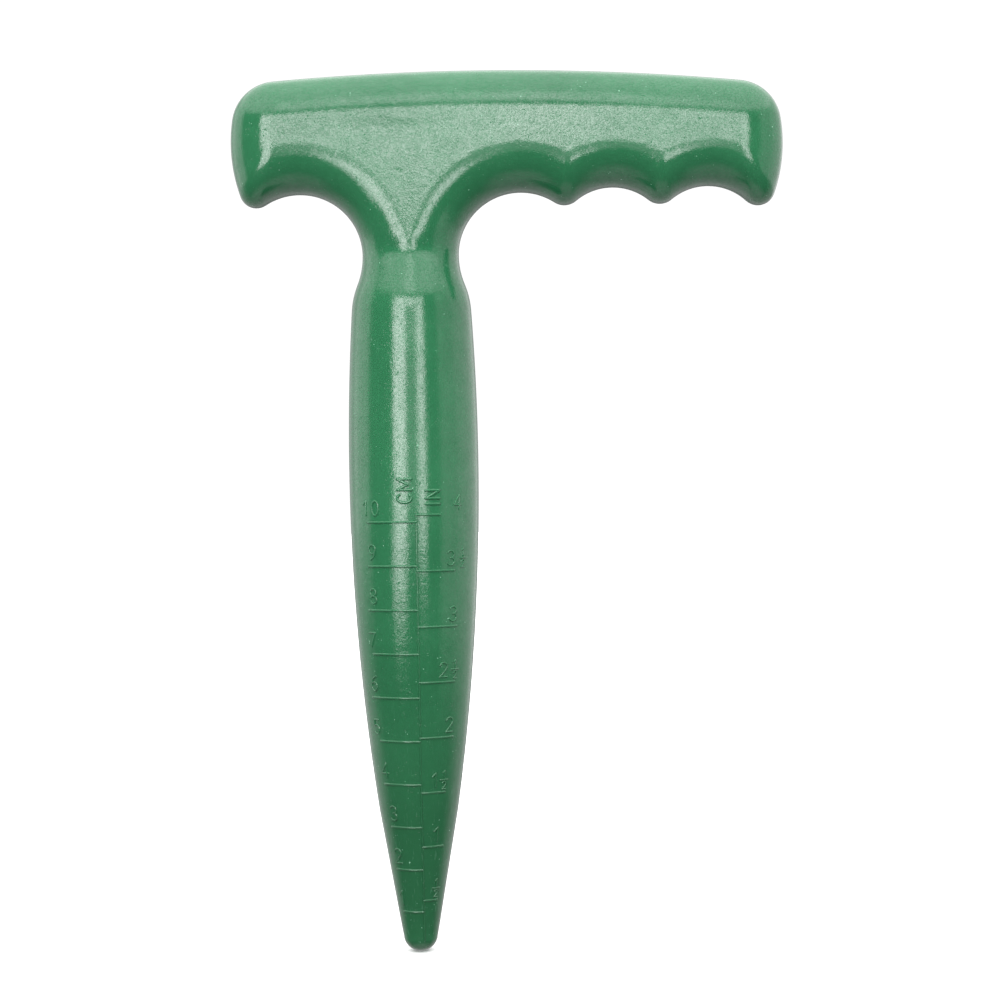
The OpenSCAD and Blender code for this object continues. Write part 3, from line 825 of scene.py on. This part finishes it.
# The room's light comes from all round, so it is given by direction: azimuth, from the camera's side (0) to
# the right (90), and elevation. First its brightness on the camera's side and behind the tool, and where the
# one passes into the other, by the world's Y
FILL_LIGHT = (0.12, 0.95)
FILL_Y = (-0.2, 0.5)
SWEEP_LIGHT = 0.5             # straight behind the tool, where only its edges mirror it
SWEEP_Y = (0.85, 0.97)
OVERHEAD_LIGHT = 2.6          # the ceiling, which is dimmer behind the tool
OVERHEAD_SHARES = (1, 0.75)
OVERHEAD_RISE = (math.radians(28), math.radians(36))
BELOW_LIGHT = 0.9             # light that comes back up from the floor
BELOW_RISE = (math.radians(-72), math.radians(-42))
BACKDROP = 1.05               # what the camera itself sees
# Each lit area of the room: left, right, low and high edge and softness in degrees, then brightness
LIT_AREAS = (
    (-33, -10, -5.5, 27, 1, 9.5),       # window to the left of the lens
    (-40, -16, -9.5, -5.5, 2, 9.5),     # its foot, further to the left
    (9.5, 24, -6, 27, 1.5, 8),          # window to the right
    (-30, 24, 16.4, 25, 0.8, 7),        # the bar that joins them above the lens
    (-1.5, 5.5, 16.4, 25, 2.5, 10.5),   # its bright middle
    (-4, 3, 15.9, 19.5, 0.8, 12.5),     # and the brightest spot, at its lower edge
    (-11, 9.5, -4, 16.4, 3, 1.3),       # pale wall between them
    (-12, 12, 33, 54, 3, 4.4),          # lamp over the lens
    (50, 160, -13, 40, 5, 1.05),        # wall to the right of the tool
    (80, 160, -13, 40, 8, 1.4),         # its brighter back part
    (-130, -83, -6, 40, 5, 1.8),        # wall to the left
)


def make_floor():
    """A wide floor under the point. It isn't mirrored in the tool, whose light the world alone gives."""
    corners = [(-FLOOR_HALF, -FLOOR_HALF, 0), (FLOOR_HALF, -FLOOR_HALF, 0),
               (FLOOR_HALF, FLOOR_HALF, 0), (-FLOOR_HALF, FLOOR_HALF, 0)]
    mesh = bpy.data.meshes.new("floor")
    mesh.from_pydata(corners, [], [(0, 1, 2, 3)])
    mesh.materials.append(floor_paint())
    floor = bpy.data.objects.new("floor", mesh)
    bpy.context.scene.collection.objects.link(floor)
    floor.visible_diffuse = False
    floor.visible_glossy = False


def softbox(tree, azimuth, elevation, left, right, low, high, edge):
    """Brightness of a soft-edged window in the sky, between two azimuths and two elevations (degrees)."""
    sides = []
    for value, start, end in ((azimuth, left, right), (elevation, low, high)):
        start, end, soft = math.radians(start), math.radians(end), math.radians(edge)
        sides.append(ramp(tree, value, start - soft, start + soft))
        sides.append(ramp(tree, value, end - soft, end + soft, 1, 0))
    return math_node(tree, "MULTIPLY", math_node(tree, "MULTIPLY", sides[0], sides[1]),
                     math_node(tree, "MULTIPLY", sides[2], sides[3]))


def make_world():
    """A pale room with an arch of softboxes round the lens, behind which the camera sees plain white."""
    world = bpy.data.worlds.new("studio")
    bpy.context.scene.world = world
    world.use_nodes = True
    tree = world.node_tree
    tree.nodes.clear()
    place = add_node(tree, "ShaderNodeTexCoord").outputs["Generated"]
    axes = add_node(tree, "ShaderNodeSeparateXYZ", [("Vector", place)]).outputs
    azimuth = math_node(tree, "ARCTAN2", axes["X"], math_node(tree, "MULTIPLY", axes["Y"], -1))
    elevation = math_node(tree, "ARCSINE", axes["Z"])
    fill = ramp(tree, axes["Y"], *FILL_Y, *FILL_LIGHT)
    sweep = ramp(tree, axes["Y"], *SWEEP_Y, FILL_LIGHT[1], SWEEP_LIGHT)
    light = math_node(tree, "MINIMUM", fill, sweep)
    overhead_share = ramp(tree, axes["Y"], *FILL_Y, *OVERHEAD_SHARES)
    overhead = ramp(tree, elevation, *OVERHEAD_RISE, 0, OVERHEAD_LIGHT)
    light = math_node(tree, "MAXIMUM", light, math_node(tree, "MULTIPLY", overhead_share, overhead))
    light = math_node(tree, "MAXIMUM", light, ramp(tree, elevation, *BELOW_RISE, BELOW_LIGHT, 0))
    for *edges, brightness in LIT_AREAS:
        area = softbox(tree, azimuth, elevation, *edges)
        light = math_node(tree, "MAXIMUM", light, math_node(tree, "MULTIPLY", area, brightness))
    seen = add_node(tree, "ShaderNodeLightPath").outputs["Is Camera Ray"]
    unseen = math_node(tree, "SUBTRACT", 1, seen)
    backdrop = math_node(tree, "MULTIPLY", seen, BACKDROP)
    strength = math_node(tree, "MAXIMUM", math_node(tree, "MULTIPLY", light, unseen), backdrop)
    background = add_node(tree, "ShaderNodeBackground", [("Color", (1, 1, 1, 1)), ("Strength", strength)])
    add_node(tree, "ShaderNodeOutputWorld", [("Surface", background.outputs[0])])
    bpy.context.scene.view_settings.view_transform = "Standard"


# ---- the tool ----

# Deep and pale colour of each plastic
GREEN = (0.018, 0.124, 0.052, 1), (0.027, 0.158, 0.069, 1)
WELD_GREEN = (0.014, 0.106, 0.044, 1), (0.021, 0.14, 0.06, 1)

make_floor()
make_world()
green = moulded_plastic("green_plastic", *GREEN)
weld = moulded_plastic("weld_plastic", *WELD_GREEN)
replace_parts(make_half("front_half", -1, green), "front_shell")
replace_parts(make_half("rear_half", 1, green), "rear_shell")
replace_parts(make_seam("seam", weld), "weld_bead")
make_marks("scale_lines", scale_lines(), green)
make_marks("scale_figures", scale_figures(), green)
make_marks("unit_marks", unit_marks(), green)
